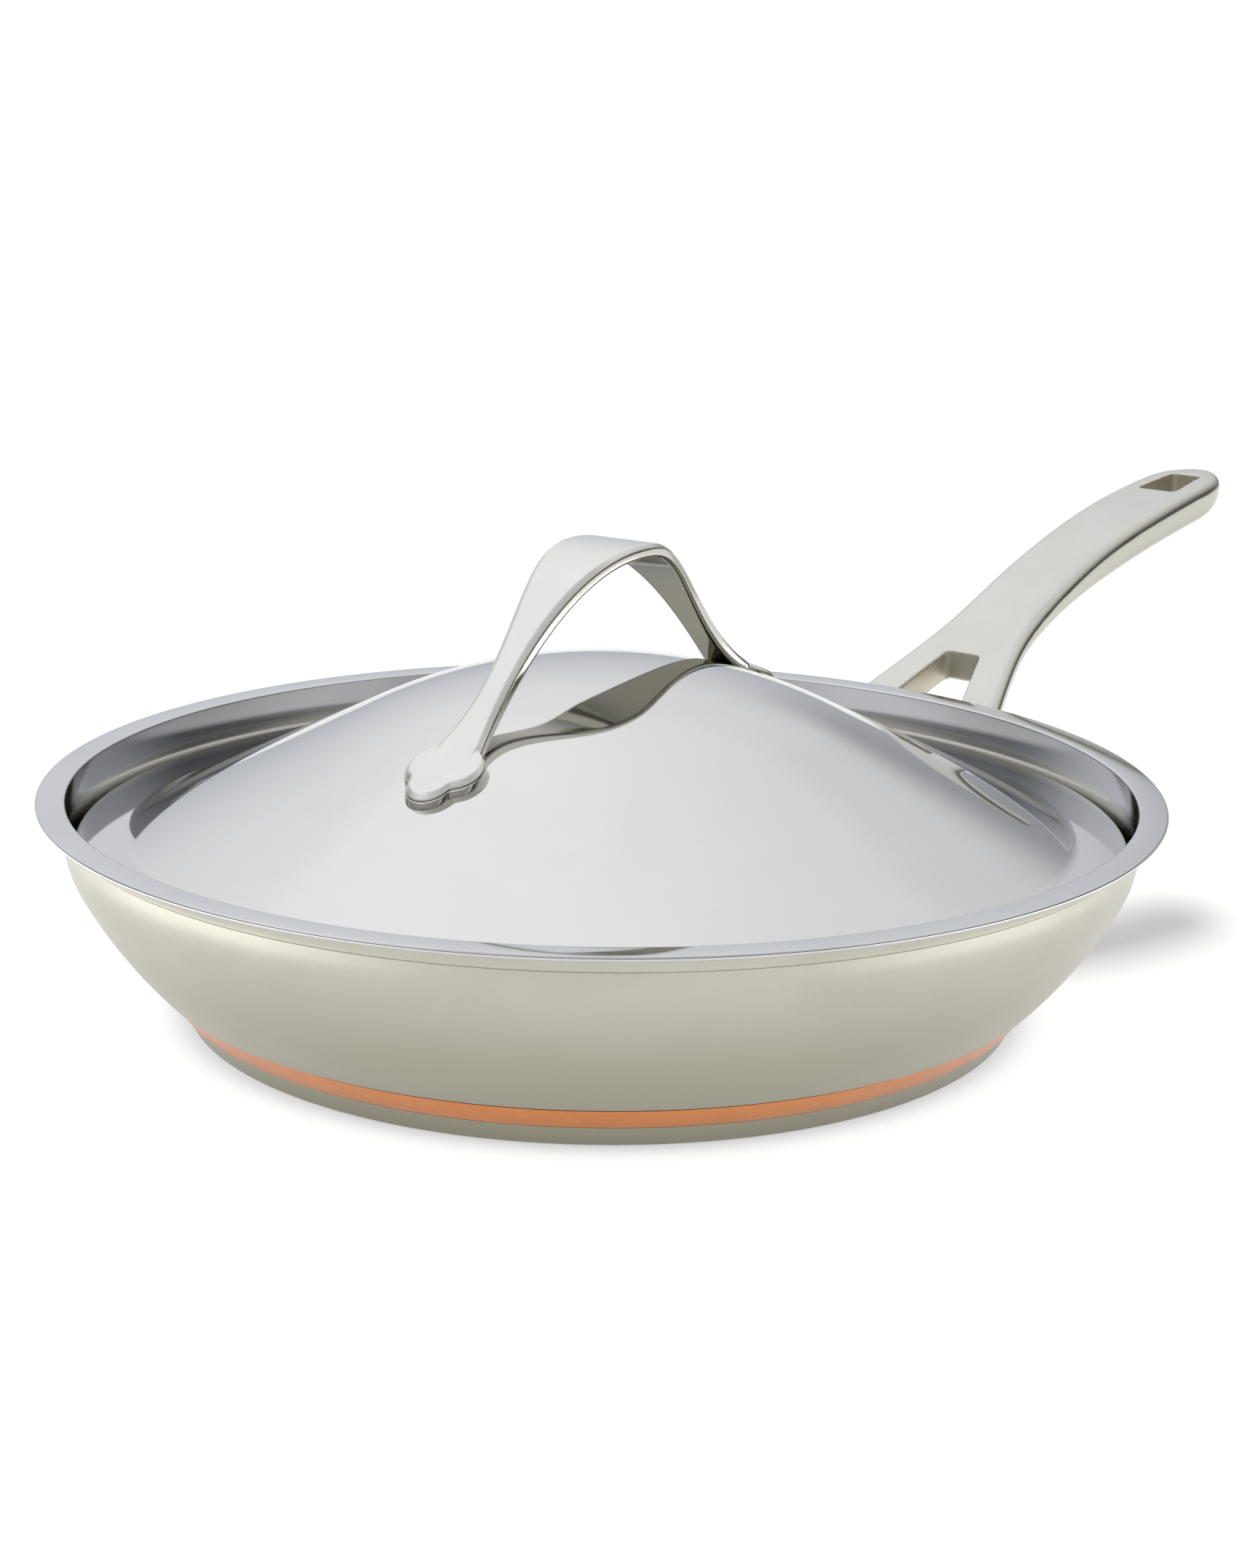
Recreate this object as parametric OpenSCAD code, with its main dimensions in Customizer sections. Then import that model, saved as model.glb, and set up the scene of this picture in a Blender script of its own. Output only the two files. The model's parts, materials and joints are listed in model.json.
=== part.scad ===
// Covered skillet: a drawn steel pan on a layered base, a cast handle, and a domed
// steel lid with a cast arch handle. Millimetres, +Z up, +X along the pan handle.
// The origin is the centre of the base, on the plane that the pan stands on.

/* [Pan body] */
// Height of the rim above the table
rim_h = 64; // [54:1:78]
// Outer radius of the flat rim
rim_r = 161; // [134:1:194]
// Width of the rim, from its edge to the neck's outer wall
rim_w = 7.4; // [6:0.2:10]
// Thickness of the rim
rim_t = 1.3; // [1:0.1:2]
// Radius of the edge between the rim and the neck
lip_r = 0.8; // [0.5:0.1:2]
// Thickness of the drawn body
wall = 1; // [0.8:0.1:1.6]
// Depth of the neck, from the rim to where the wall starts to curve
neck_h = 9; // [7:0.5:12]
// Radius of the shoulder curve below the neck
shoulder_r = 28; // [24:1:34]
// Radius of the long curve of the lower wall
side_r = 125; // [110:1:150]
// Slope of the wall from upright, where the two curves meet
side_turn = 27.7; // [24:0.1:32]
// Slope of the wall from upright, at the base
base_turn = 43.9; // [40:0.1:48]
// Inside radius where the wall meets the floor
floor_r = 7; // [4:0.5:10]

/* [Base] */
// Edge radius of the steel cap's rounded corner
cap_edge = 1.2; // [0.9:0.1:2]
// Height of the steel cap
cap_h = 6.3; // [5:0.1:8]
// Thickness of the steel cap
cap_t = 0.8; // [0.6:0.1:1.2]
// Height of the copper band
band_h = 6.3; // [4:0.1:9]
// Width of the copper band, from its face inwards
band_w = 3; // [2:0.1:4]
// Thickness of the copper plate inside
plate_t = 1.5; // [0.8:0.1:2.5]
// Height of the groove between the copper band and the body
groove_h = 0.7; // [0.4:0.1:1.2]
// Depth of that groove
groove_d = 1.6; // [0.8:0.1:2.5]
// How far the copper band's upper edge stands in from the body wall
band_in = 1.4; // [0.8:0.1:2]
// Slope of the copper band, as width over height
band_slope = 0.73; // [0.5:0.01:0.9]

/* [Pan handle] */
// Distance from the pan's axis to the handle's tip
tip_x = 347.5; // [290:0.5:415]
// Half width at the neck of the handle
neck_w = 14.3; // [11:0.1:16]
// How much the grip swells beyond the neck
grip_swell = 0.9; // [0:0.1:4]
// Half width of the root, where it meets the pan
root_w = 28.1; // [23:0.1:33.5]
// Thickness of the grip
handle_t = 14.7; // [11.5:0.1:17]
// Thickness of the root
root_t = 10.1; // [7.5:0.1:11.5]
// Radius of the long edges of the top face
edge_r = 4; // [2:0.2:5]
// Rise of the root, as height over length
root_rise = 0.6; // [0.5:0.01:0.7]
// Rise of the grip at its tip, as height over length
grip_rise = 0.117; // [0.06:0.001:0.2]
// Height of the tip above the rim
tip_rise = 54.9; // [45:0.1:67]
// Depth of the handle's top face below the rim, at the pan wall
root_drop = 11.4; // [10:0.1:14]
// Thickness of the pad that is riveted to the pan
pad_t = 4.5; // [3:0.5:6]
// How far the pad reaches below the middle of the rivets
pad_below = 7; // [5.5:0.1:8.5]
// Length of the window at the root
window_l = 26.5; // [22:0.5:32]
// Half width of the window at its outer end
window_w = 7; // [5:0.2:8.4]
// Length of the hanging slot
slot_l = 23; // [16:0.5:27.5]
// Half width of the hanging slot at its inner end
slot_w = 7.4; // [5:0.2:8.8]

/* [Lid] */
// Thickness of the lid sheet
lid_t = 0.8; // [0.6:0.1:1.2]
// Gap between the lid's rim and the pan
lid_gap = 0.4; // [0.3:0.05:0.8]
// Depth of the lid's turned-down rim
skirt_h = 6; // [4:0.5:8]
// Corner radius of the lid's rim
skirt_r = 1.6; // [1.2:0.1:2]
// Thickness of the hem along the lower edge of the rim
hem_t = 1.6; // [1.2:0.1:2]
// Width of the flat ring inside the rim
ring_w = 12; // [9:0.5:16]
// Radius of the fillet between the ring and the dome
foot_fillet = 8; // [4:0.5:12]
// Radius of the dome's crown
crown_r = 162; // [135:1:195]
// Slope of the dome's flank
flank = 26; // [22:0.5:28]

/* [Lid handle] */
// Angle from the pan handle to the lid handle
lid_turn = 6; // [0:1:15]
// Height of the arch above the dome, without its foot
arch_rise = 30.8; // [25:0.2:37]
// Half length of the arch, from its middle to where the feet lie flat
arch_half = 74; // [66:1:82]
// Half width at the top of the arch
top_w = 13; // [9:0.2:15]
// Half width at the narrowest part of a leg
leg_w = 4.6; // [3.8:0.1:6]
// Distance from the middle to the narrowest part of a leg
leg_x = 52; // [46:1:56]
// Thickness of the strap
strap_t = 4.2; // [3:0.1:5]
// Thickness of the feet, measured upright
foot_t = 4; // [3.4:0.1:5]
// Radius of the two side lobes of a foot
side_lobe = 7.4; // [6.4:0.1:8.5]
// Radius of the end lobe of a foot
end_lobe = 6.8; // [5.5:0.1:8]
// Bevel along the edges of the strap and its feet
strap_bevel = 1.2; // [0.6:0.1:1.6]

/* [Rivets] */
// Radius of the pan handle's rivet shanks
rivet_r = 3; // [2.5:0.1:4]
// Radius of their heads inside the pan
rivet_head_r = 6; // [5:0.1:8]
// Height of those heads
rivet_head_h = 1.6; // [1:0.1:2.5]
// Angle of each rivet from the handle's middle plane, about the pan's axis
rivet_turn = 6.6; // [5:0.2:7]
// Radius of the lid handle's rivet shanks
stud_r = 2.4; // [2:0.1:3]
// Radius of their heads inside the lid
stud_head_r = 4.5; // [4:0.1:5.5]
// Height of those heads
stud_head_h = 1.2; // [0.8:0.1:2]

/* [Hidden] */
fn_round = 96;      // roundness of turned parts
fn_cut = 360;       // roundness of the large shapes that trim the rivet heads
skin = 0.04;        // hair gap between the lid handle's feet and the dome

// --- pan body: a neck on a shoulder arc on a long side arc ---
neck_r = rim_r - rim_w;
flare_r = rim_w - 2.7;
crease_z = rim_h - rim_t - flare_r;
crease_step = 0.5;
base_top = cap_h + band_h + groove_h;
shoulder_z = rim_h - neck_h;
shoulder_x = neck_r - shoulder_r;
turn_z = shoulder_z - shoulder_r * sin(side_turn);
turn_x = shoulder_x + shoulder_r * cos(side_turn);
side_x = turn_x - side_r * cos(side_turn);
side_z = turn_z + side_r * sin(side_turn);
base_angle = asin((side_z - base_top) / side_r);
floor_z = base_top + wall + floor_r;
floor_x = side_x + sqrt(pow(side_r - wall - floor_r, 2) - pow(side_z - floor_z, 2));
floor_angle = asin((side_z - floor_z) / (side_r - wall - floor_r));

// Points along an arc in the profile plane, from angle a to angle b, in n steps
function arc(cx, cz, r, a, b, n) = [for (i = [0 : n])
    let (t = a + (b - a) * i / n) [cx + r * cos(t), cz + r * sin(t)]];
function tail(v) = [for (i = [1 : len(v) - 1]) v[i]];
function flip(v) = [for (i = [len(v) - 1 : -1 : 0]) v[i]];

// Wall from angle a below level up to the neck, moved inwards by d
function wall_line(d, a) = concat(arc(side_x, side_z, side_r - d, -a, -side_turn, 10),
    tail(arc(shoulder_x, shoulder_z, shoulder_r - d, -side_turn, 0, 7)));

// Inner wall with its rounded corner at the floor
inner_line = concat(arc(floor_x, floor_z, floor_r, -90, -floor_angle, 5),
    tail(wall_line(wall, floor_angle)));

// Radius of the wall at height z, moved inwards by d
function wall_at(z, d) = z >= shoulder_z ? neck_r - d
    : z >= shoulder_z - (shoulder_r - d) * sin(side_turn)
    ? shoulder_x + sqrt(pow(shoulder_r - d, 2) - pow(shoulder_z - z, 2))
    : side_x + sqrt(pow(side_r - d, 2) - pow(side_z - z, 2));

// Angle that the wall's face looks down by, at height z
function wall_tilt(z) = z > turn_z ? asin((shoulder_z - z) / shoulder_r)
    : asin((side_z - z) / side_r);

// --- base: steel cap, aluminium, copper, aluminium, then the pan body ---
base_out = wall_at(base_top, 0);
band_z = cap_h + band_h;
band_top_r = base_out - band_in;
band_low_r = band_top_r - band_h * band_slope;
core_z = cap_h + (band_h - plate_t) / 2;
function band_inside(z) = band_low_r + (z - cap_h) * band_slope - band_w;
cap_top_r = band_low_r - 0.6;
cap_slope = 28;
cap_low_r = cap_top_r - (cap_h - cap_edge) * tan(cap_slope) - cap_edge / cos(cap_slope);

// --- pan handle: its top face is a Bezier curve from the pan wall to the tip ---
root_x = neck_r;
root_z = rim_h - root_drop;
tip_z = rim_h + tip_rise;
root_reach = 0.396 * (tip_x - root_x);
tip_reach = 0.42 * (tip_x - root_x);
function bezier(t) = pow(1 - t, 3) * [root_x, root_z]
    + 3 * t * pow(1 - t, 2) * [root_x + root_reach, root_z + root_reach * root_rise]
    + 3 * t * t * (1 - t) * [tip_x - tip_reach, tip_z - tip_reach * grip_rise]
    + t * t * t * [tip_x, tip_z];
root_flank = 0.39;
root_soft = 3;
swell_x = tip_x - 48;
swell_l = 52;
tip_l = 24;
tip_power = 2.8;
function soft_max(a, b, k) = (a + b) / 2 + sqrt(pow((a - b) / 2, 2) + k * k);
function swell(x) = abs(x - swell_x) > swell_l ? 0
    : grip_swell * pow(cos(90 * (x - swell_x) / swell_l), 2);
function tip_share(x) = x < tip_x - tip_l ? 1
    : pow(max(0, 1 - pow((x - tip_x + tip_l) / tip_l, tip_power)), 0.5);
function handle_half(x) = tip_share(x) * (swell(x)
    + soft_max(root_w - root_flank * (x - root_x - 11.5), neck_w, root_soft));
tip_drop = 1.1;
grow_x = root_x + 36;   // the root's thickness grows into the grip's between these two
grow_l = 86;
window_x = root_x + pad_t + 4;
window_spread = 0.27;
slot_x = tip_x - 34;
slot_taper = 1.4;
under_r = 7.8;          // width of the rounding under each side of the handle
hole_r = 2;
pad_top = root_z - 1;
pad_r = 7;
rivet_deep = pad_t - 1.5;

// --- lid: its rim sits in the neck; its dome is a crown arc on a straight flank ---
lid_low = shoulder_z - 9;
rivet_room = 1.5;       // from the heads of the pan handle's rivets up to the lid
rivet_z = lid_low - rivet_room - rivet_head_r;
pad_low = rivet_z - pad_below;
lid_r = wall_at(lid_low, wall) - lid_gap;
lid_flat = lid_low + skirt_h;
ring_in = lid_r - skirt_r - ring_w;
flank_x = crown_r * sin(flank);
dome_top = lid_flat + (ring_in - foot_fillet * tan(flank / 2) - flank_x) * tan(flank)
    + crown_r * (1 - cos(flank));
function lid_z(r) = r < flank_x ? dome_top - crown_r + sqrt(crown_r * crown_r - r * r)
    : dome_top - crown_r * (1 - cos(flank)) - (r - flank_x) * tan(flank);

// Upper surface of the lid from its middle to its rim, moved down into the metal by d
function lid_line(d) = concat(
    arc(0, dome_top - crown_r, crown_r - d, 90, 90 - flank, 12),
    arc(ring_in, lid_flat + foot_fillet, foot_fillet + d, 270 - flank, 270, 5),
    arc(lid_r - skirt_r, lid_flat - skirt_r, skirt_r - d, 90, 0, 5));

// --- lid handle: a strap that rises from two three-lobed feet ---
lobe_x = arch_half + 1;
lobe_y = 4.4;
end_x = arch_half + 7.5;
foot_start = arch_half - 6;
leg_flare = 2.4;
arch_power = 1.2;
function arch(u) = u < arch_half ? pow(cos(90 * pow(u / arch_half, arch_power)), 2) : 0;
function strap_top(u) = lid_z(u) + foot_t + arch_rise * arch(u);
function strap_slope(u) = strap_top(u + 0.5) - strap_top(abs(u - 0.5));
function leg_half(u) = u < leg_x ? leg_w + (top_w - leg_w) * pow(cos(90 * u / leg_x), 2)
    : leg_w + leg_flare * min(1, pow((u - leg_x) / (foot_start - leg_x), 2));
function lobe_half(u) = max(
    abs(u - lobe_x) < side_lobe ? lobe_y + sqrt(pow(side_lobe, 2) - pow(u - lobe_x, 2)) : 0,
    abs(u - end_x) < end_lobe ? sqrt(pow(end_lobe, 2) - pow(u - end_x, 2)) : 0.3);
function strap_half(u) = max(u < lobe_x ? leg_half(u) : 0.3, lobe_half(u));
half_steps = concat([for (i = [1 : 14]) i * (foot_start - 3) / 14], [foot_start - 1.4],
    [for (a = [20 : 18 : 146]) lobe_x - side_lobe * cos(a)],
    [for (a = [8, 24, 42, 60, 76, 90]) end_x + end_lobe * sin(a)]);
stud_deep = 2;

// Turned solid from profile points
module turned(points, n = fn_round) { rotate_extrude($fn = n) polygon(points); }

// Closed solid through rings that all have the same number of points
module loft(rings) {
    n = len(rings[0]);
    m = len(rings);
    polyhedron(points = [for (ring = rings) each ring],
        faces = concat([[for (j = [0 : n - 1]) j]],
            [for (i = [0 : m - 2], j = [0 : n - 1])
                each [[i * n + j, (i + 1) * n + j, i * n + (j + 1) % n],
                    [i * n + (j + 1) % n, (i + 1) * n + j, (i + 1) * n + (j + 1) % n]]],
            [[for (j = [0 : n - 1]) (m - 1) * n + n - 1 - j]]));
}

// Flat shape with round corners, from half width w0 at x0 to half width w1 at x1
module rounded(x0, w0, x1, w1, r) {
    polygon([[x0, r - w0], [x0 + r, -w0], [x1 - r, -w1], [x1, r - w1],
        [x1, w1 - r], [x1 - r, w1], [x0 + r, w0], [x0, w0 - r]]);
    for (s = [-1, 1]) {
        translate([x0 + r, s * (w0 - r)]) circle(r, $fn = 24);
        translate([x1 - r, s * (w1 - r)]) circle(r, $fn = 24);
    }
}

module pan_body() {
    color("silver") difference() {
        turned(concat([[0, base_top]], wall_line(0, base_angle),
            [[neck_r, crease_z - 0.4]],
            arc(neck_r + crease_step + flare_r, crease_z, flare_r, 180, 90, 6),
            arc(rim_r - rim_t / 2, rim_h - rim_t / 2, rim_t / 2, -90, 90, 6),
            arc(neck_r - wall + lip_r, rim_h - lip_r, lip_r, 90, 180, 5),
            flip(inner_line), [[0, base_top + wall]]));
        at_rivets() rivet_shank(rivet_r, 3);
    }
}

module base_upper_aluminium() {
    color("lightgray") turned([[0, core_z + plate_t],
        [band_inside(core_z + plate_t), core_z + plate_t], [band_inside(band_z), band_z],
        [band_top_r - groove_d, band_z], [band_top_r - groove_d, base_top], [0, base_top]]);
}

module base_copper() {
    color("peru") turned([[0, core_z], [band_inside(core_z), core_z],
        [band_inside(cap_h), cap_h], [band_low_r, cap_h], [band_top_r, band_z],
        [band_inside(band_z), band_z], [band_inside(core_z + plate_t), core_z + plate_t],
        [0, core_z + plate_t]]);
}

module base_lower_aluminium() {
    color("lightgray") turned([[0, cap_t], [cap_low_r - 0.6, cap_t],
        [band_inside(cap_h), cap_h], [band_inside(core_z), core_z], [0, core_z]]);
}

module base_cap() {
    color("silver") turned(concat([[0, 0]],
        arc(cap_low_r, cap_edge, cap_edge, -90, -cap_slope, 4),
        [[cap_top_r, cap_h], [band_inside(cap_h), cap_h], [cap_low_r - 0.6, cap_t],
        [0, cap_t]]));
}

// Thickness along the handle, which thins out at the tip
function handle_thick(x) = (0.5 + 0.5 * tip_share(x))
    * (root_t + (handle_t - root_t) * pow(sin(90 * min(1, max(0, (x - grow_x) / grow_l))), 2));

// One ring of the pan handle: flat top, rounded edges, sides that draw in underneath
function handle_ring(t) = let (p = bezier(t), thick = handle_thick(p[0]),
    h = max(0.3, handle_half(p[0])), z = p[1] - tip_drop * (1 - tip_share(p[0])),
    e = min(edge_r, h * 0.5, thick * 0.4), k = min(1, h / under_r),
    side = [[h - e, 0], [h - e * 0.29, -e * 0.29], [h, -e], [h - 0.2 * k, -0.55 * thick],
        [h - 1.3 * k, -0.78 * thick], [h - under_r * 0.5 * k, -0.94 * thick],
        [h - under_r * 0.95 * k, -thick]])
    concat([for (q = side) [p[0], -q[0], z + q[1]]],
        flip([for (q = side) [p[0], q[0], z + q[1]]]));

module pan_handle() {
    color("silver") difference() {
        union() {
            loft([for (i = [0 : 42]) handle_ring(i < 34 ? -0.03 + 0.98 * i / 34
                : 0.95 + 0.05 * sin(90 * (i - 34) / 8))]);
            handle_pad();
        }
        // the pan's outer surface
        turned(concat([[0, base_top - 5], [base_out - 4, base_top - 5]],
            wall_line(0, base_angle), [[neck_r, rim_h], [0, rim_h]]));
        linear_extrude(height = tip_z * 2) {
            rounded(window_x, window_w + window_spread * window_l,
                window_x + window_l, window_w, hole_r);
            rounded(slot_x, slot_w, slot_x + slot_l, slot_w - slot_taper, hole_r);
        }
        at_rivets() rivet_shank(rivet_r, 3);
    }
}

// Pad that follows the pan wall under the root
module handle_pad() {
    intersection() {
        turned(concat([[root_x - 30, base_top]], wall_line(-pad_t, base_angle),
            [[root_x - 30, shoulder_z]]));
        translate([root_x - 30, 0, 0]) rotate([0, 90, 0]) linear_extrude(height = 60)
            rounded(-pad_top, root_w, -pad_low, root_w - 2, pad_r);
    }
}

// The two places on the pan wall where rivets pass straight through it
module at_rivets() {
    for (s = [-1, 1]) rotate([0, 0, s * rivet_turn])
        translate([wall_at(rivet_z, 0), 0, rivet_z]) rotate([0, 90 + wall_tilt(rivet_z), 0])
            children();
}

// Shank from inside the pan to its blind end in the pad
module rivet_shank(r, inside) {
    translate([0, 0, -wall - inside]) cylinder(r = r, h = wall + inside + rivet_deep, $fn = 48);
}

module pan_handle_rivets() {
    color("silver") {
        at_rivets() rivet_shank(rivet_r, 0.5);
        intersection() {
            at_rivets() turned([[0, 1], [0, -wall - rivet_head_h],
                [rivet_head_r * 0.5, -wall - rivet_head_h * 0.85],
                [rivet_head_r * 0.8, -wall - rivet_head_h * 0.5],
                [rivet_head_r, -wall], [rivet_head_r, 1]]);
            turned(concat([[0, base_top + wall]], inner_line, [[neck_r - wall, rim_h],
                [0, rim_h]]), fn_cut);
        }
    }
}

module lid_dome() {
    color("silver") difference() {
        turned(concat(lid_line(0), [[lid_r, lid_low], [lid_r - hem_t, lid_low],
            [lid_r - hem_t, lid_low + hem_t], [lid_r - lid_t, lid_low + hem_t + 0.8]],
            flip(lid_line(lid_t))));
        at_studs() stud_shank(2);
    }
}

// One ring across the strap: bevelled top, upright sides, an underside that stays
// clear of the dome or lies on it
function strap_ring(u) = let (a = abs(u), h = strap_half(a), top = strap_top(a),
    thick = strap_t * sqrt(1 + pow(strap_slope(a), 2)),
    e = min(strap_bevel, h * 0.5),
    side = [[h - e * 1.3, 0], [h - e * 0.35, -e * 0.35], [h, -e * 1.3],
        [h, -thick + e * 0.7], [h - e * 0.7, -thick], [h * 0.4, -thick]])
    concat([for (q = side) strap_point(u, -q[0], top, q[1])],
        flip([for (q = side) strap_point(u, q[0], top, q[1])]));
function strap_point(u, v, top, dz) = let (a = abs(u), r = sqrt(u * u + v * v),
    sink = (1 - arch(a)) * (lid_z(r) - lid_z(a)))
    [u, v, max(top + sink + dz, lid_z(r) + skin)];

module lid_handle() {
    color("silver") rotate([0, 0, lid_turn]) difference() {
        loft([for (u = concat(flip([for (v = half_steps) -v]), [0], half_steps))
            strap_ring(u)]);
        at_feet() stud_shank(2);
    }
}

// The two places on the dome where the feet are riveted, square to the sheet
module at_feet() {
    for (a = [0, 180]) rotate([0, 0, a])
        translate([lobe_x, 0, lid_z(lobe_x)]) rotate([0, flank, 0]) children();
}
module at_studs() { rotate([0, 0, lid_turn]) at_feet() children(); }

// Shank from below the lid sheet to its blind end in the foot
module stud_shank(below) {
    translate([0, 0, -lid_t - below])
        cylinder(r = stud_r, h = lid_t + below + stud_deep, $fn = 40);
}

module lid_handle_rivets() {
    color("silver") {
        at_studs() stud_shank(0.4);
        intersection() {
            at_studs() turned([[0, 1], [0, -lid_t - stud_head_h],
                [stud_head_r * 0.6, -lid_t - stud_head_h * 0.8],
                [stud_head_r, -lid_t], [stud_head_r, 1]]);
            turned(concat([[0, lid_low]], flip(concat(lid_line(lid_t),
                [[lid_r - lid_t, lid_low]]))), fn_cut);
        }
    }
}

pan_body();
base_upper_aluminium();
base_copper();
base_lower_aluminium();
base_cap();
pan_handle();
pan_handle_rivets();
lid_dome();
lid_handle();
lid_handle_rivets();
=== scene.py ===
"""A covered steel skillet on a pale floor: a drawn pan on a copper-banded base, a cast
handle, and a domed mirror-polished lid with a cast arch handle.
Shapes are worked out in millimetres, with +X along the pan handle, and made in metres."""
import json
import math

import bmesh
import bpy
from mathutils import Matrix, Vector

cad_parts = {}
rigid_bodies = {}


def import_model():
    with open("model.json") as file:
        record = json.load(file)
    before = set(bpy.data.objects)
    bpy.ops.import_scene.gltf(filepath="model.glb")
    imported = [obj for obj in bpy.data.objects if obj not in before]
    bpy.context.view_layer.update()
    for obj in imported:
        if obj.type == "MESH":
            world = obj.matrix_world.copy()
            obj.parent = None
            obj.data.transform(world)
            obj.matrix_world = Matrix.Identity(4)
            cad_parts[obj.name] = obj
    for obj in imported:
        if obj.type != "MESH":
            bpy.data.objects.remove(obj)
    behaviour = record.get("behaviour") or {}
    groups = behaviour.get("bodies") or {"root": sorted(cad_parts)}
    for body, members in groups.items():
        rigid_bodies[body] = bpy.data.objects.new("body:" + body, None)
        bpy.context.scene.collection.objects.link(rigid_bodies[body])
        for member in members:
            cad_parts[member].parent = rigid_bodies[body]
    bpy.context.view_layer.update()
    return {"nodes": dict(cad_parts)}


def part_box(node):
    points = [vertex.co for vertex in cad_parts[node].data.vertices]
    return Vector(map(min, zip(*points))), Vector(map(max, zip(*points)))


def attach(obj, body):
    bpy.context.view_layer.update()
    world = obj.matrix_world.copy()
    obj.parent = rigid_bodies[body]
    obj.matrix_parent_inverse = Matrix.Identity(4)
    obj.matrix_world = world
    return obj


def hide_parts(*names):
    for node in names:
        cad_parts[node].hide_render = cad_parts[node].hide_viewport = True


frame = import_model()
MM = 0.001

# ---------------------------------------------------------------- sizes, in millimetres
PAN_LOW, PAN_HIGH = (Vector(c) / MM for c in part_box("pan_body"))
RIM_R, RIM_Z = PAN_HIGH.x, PAN_HIGH.z
BASE_TOP = PAN_LOW.z
WALL, RIM_T, LIP_R = 1.0, 1.3, 0.8
NECK_R = RIM_R - 7.4
FLARE_R = 4.7
CREASE_Z, CREASE_STEP = RIM_Z - RIM_T - FLARE_R, 0.5
SHOULDER_R, SIDE_R = 28.0, 125.0
SIDE_TURN = math.radians(27.7)
SHOULDER_Z = RIM_Z - 9.0
SHOULDER_X = NECK_R - SHOULDER_R
SIDE_X = SHOULDER_X + (SHOULDER_R - SIDE_R) * math.cos(SIDE_TURN)
SIDE_Z = SHOULDER_Z - (SHOULDER_R - SIDE_R) * math.sin(SIDE_TURN)
BASE_TURN = math.asin((SIDE_Z - BASE_TOP) / SIDE_R)
FLOOR_R = 7.0

CAP_H, BAND_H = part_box("base_cap")[1].z / MM, 6.3
BAND_Z = CAP_H + BAND_H
BAND_SLOPE, BAND_W, PLATE_T = 0.73, 3.0, 1.5
BAND_TOP_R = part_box("base_copper")[1].x / MM
BAND_LOW_R = BAND_TOP_R - BAND_H * BAND_SLOPE
CAP_TOP_R, CAP_EDGE, CAP_SLOPE, CAP_T = BAND_LOW_R - 0.6, 1.2, math.radians(28), 0.8

TIP_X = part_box("pan_handle")[1].x / MM
PAD_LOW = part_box("pan_handle")[0].z / MM
ROOT_X, ROOT_Z, TIP_Z = NECK_R, RIM_Z - 11.4, RIM_Z + 54.9
ROOT_T, HANDLE_T, HANDLE_EDGE, UNDER_R = 10.1, 14.7, 4.0, 7.8
ROOT_W, ROOT_FLANK, ROOT_SOFT, NECK_W = 28.1, 0.39, 3.0, 14.3
SWELL, SWELL_X, SWELL_L = 0.9, TIP_X - 48, 52
ROOT_REACH, ROOT_RISE, TIP_REACH, GRIP_RISE = 0.396, 0.6, 0.42, 0.117
GROW_X, GROW_L = ROOT_X + 36, 86
TIP_L, TIP_POWER, TIP_DROP = 24.0, 2.8, 1.1
HOLE_R, PAD_R = 2.0, 7.0
PAD_T = 4.5
WINDOW_X, WINDOW_L, WINDOW_W = ROOT_X + PAD_T + 4, 26.5, 7.0
WINDOW_ROOT_W = WINDOW_W + 0.27 * WINDOW_L
SLOT_X, SLOT_L, SLOT_W, SLOT_END_W = TIP_X - 34, 23.0, 7.4, 6.0

LID_T, HEM_T = 0.8, 1.6
LID_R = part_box("lid_dome")[1].x / MM
LID_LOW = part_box("lid_dome")[0].z / MM
LID_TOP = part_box("lid_dome")[1].z / MM
LID_FLAT, SKIRT_R, RING_W = LID_LOW + 6.0, 1.6, 12.0
RING_IN = LID_R - SKIRT_R - RING_W
FOOT_FILLET, CROWN_R, FLANK = 8.0, 162.0, math.radians(26)
FLANK_X = CROWN_R * math.sin(FLANK)
LID_TURN = math.radians(6)
ARCH_RISE, ARCH_HALF, ARCH_POWER = 30.8, 74.0, 1.2
STRAP_T, STRAP_BEVEL, FOOT_T = 4.2, 1.3, 4.0
TOP_W, LEG_W, LEG_X = 13.0, 4.6, 52.0
LEG_FLARE, FLARE_L = 2.4, 16.0
FOOT_X = ARCH_HALF + 2.0
FOOT_LOBES = ((-1.0, 4.4, 7.4), (-1.0, -4.4, 7.4), (5.5, 0.0, 6.8))    # middle and radius
SUNK = -0.35    # the feet are pressed this far into the lid's sheet


def arc(cx, cz, r, a, b, n):
    """Points along an arc in the profile plane, from angle a to angle b in degrees."""
    turns = (math.radians(a + (b - a) * i / n) for i in range(n + 1))
    return [(cx + r * math.cos(t), cz + r * math.sin(t)) for t in turns]


def wall_line(inset, start=None, steps=28):
    """The pan wall from the base up to the neck, moved inwards."""
    low = math.degrees(BASE_TURN if start is None else start)
    turn = math.degrees(SIDE_TURN)
    return (arc(SIDE_X, SIDE_Z, SIDE_R - inset, -low, -turn, steps)
            + arc(SHOULDER_X, SHOULDER_Z, SHOULDER_R - inset, -turn, 0, 20)[1:])


# Everything inside the pan's outer wall, up to the rim
PAN_SPACE = ([(0, BASE_TOP - 5), (wall_line(0)[0][0] - 4, BASE_TOP - 5)] + wall_line(0)
             + [(NECK_R, RIM_Z), (0, RIM_Z)])


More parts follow.
